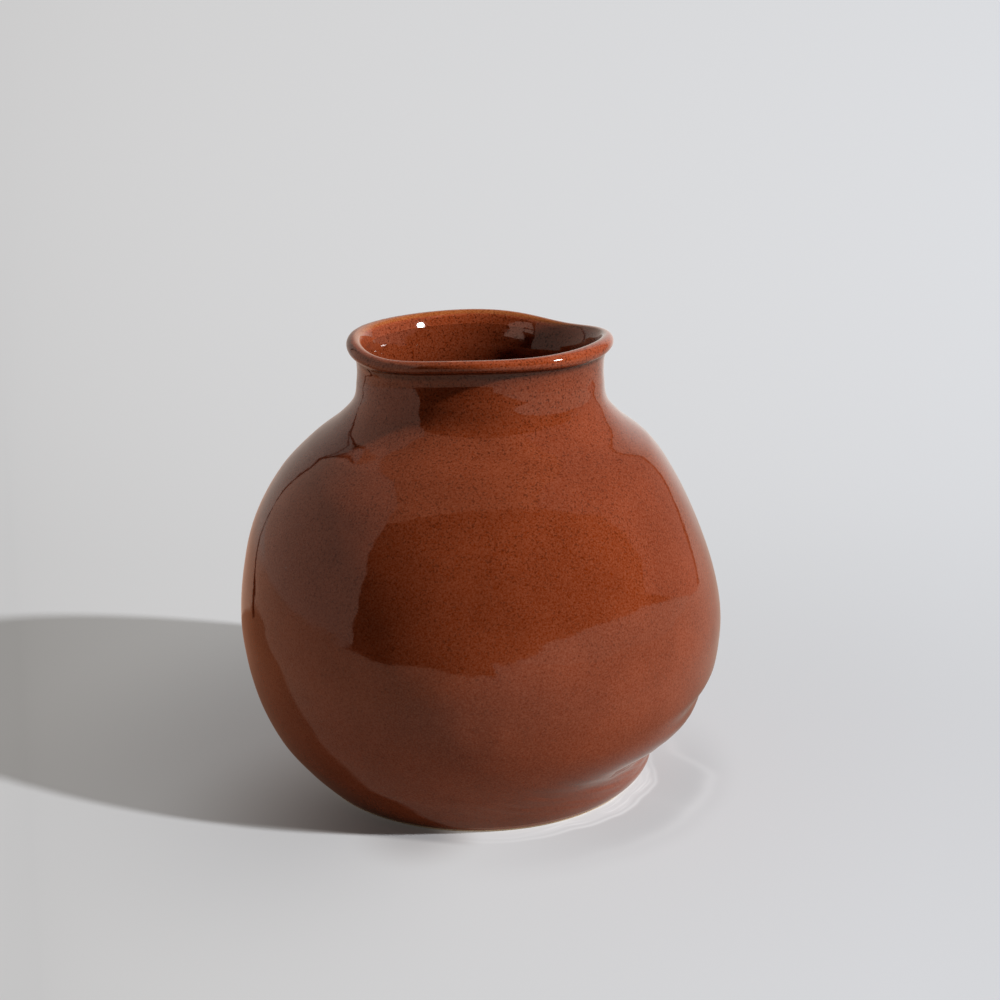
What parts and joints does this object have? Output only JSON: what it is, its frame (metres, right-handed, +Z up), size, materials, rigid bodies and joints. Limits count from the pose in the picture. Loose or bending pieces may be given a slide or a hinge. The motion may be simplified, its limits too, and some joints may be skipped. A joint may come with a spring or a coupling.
{
  "type": "stoneware vase",
  "caption": "Round-bellied stoneware vase with a short neck, an uneven rolled lip and a flat foot, built from keyed clay members, for holding water and cut stems.",
  "frame": {"origin": "centre of the footprint of the vase on the surface it stands on", "axes": "+Z up through the mouth; the pictured side faces -Y, with +X to its right"},
  "size_m": [0.2366, 0.2366, 0.2207],
  "materials": {
    "glaze": "glossy rust-brown glaze with fine dark flecks",
    "bare_clay": "matt unglazed buff stoneware"
  },
  "bodies": {
    "root": {"foot_ring": "bare_clay", "base_disc": "glaze", "lower_wall": "glaze", "shoulder_wall": "glaze", "neck_collar": "glaze", "rolled_lip": "glaze"}
  },
  "joints": []
}
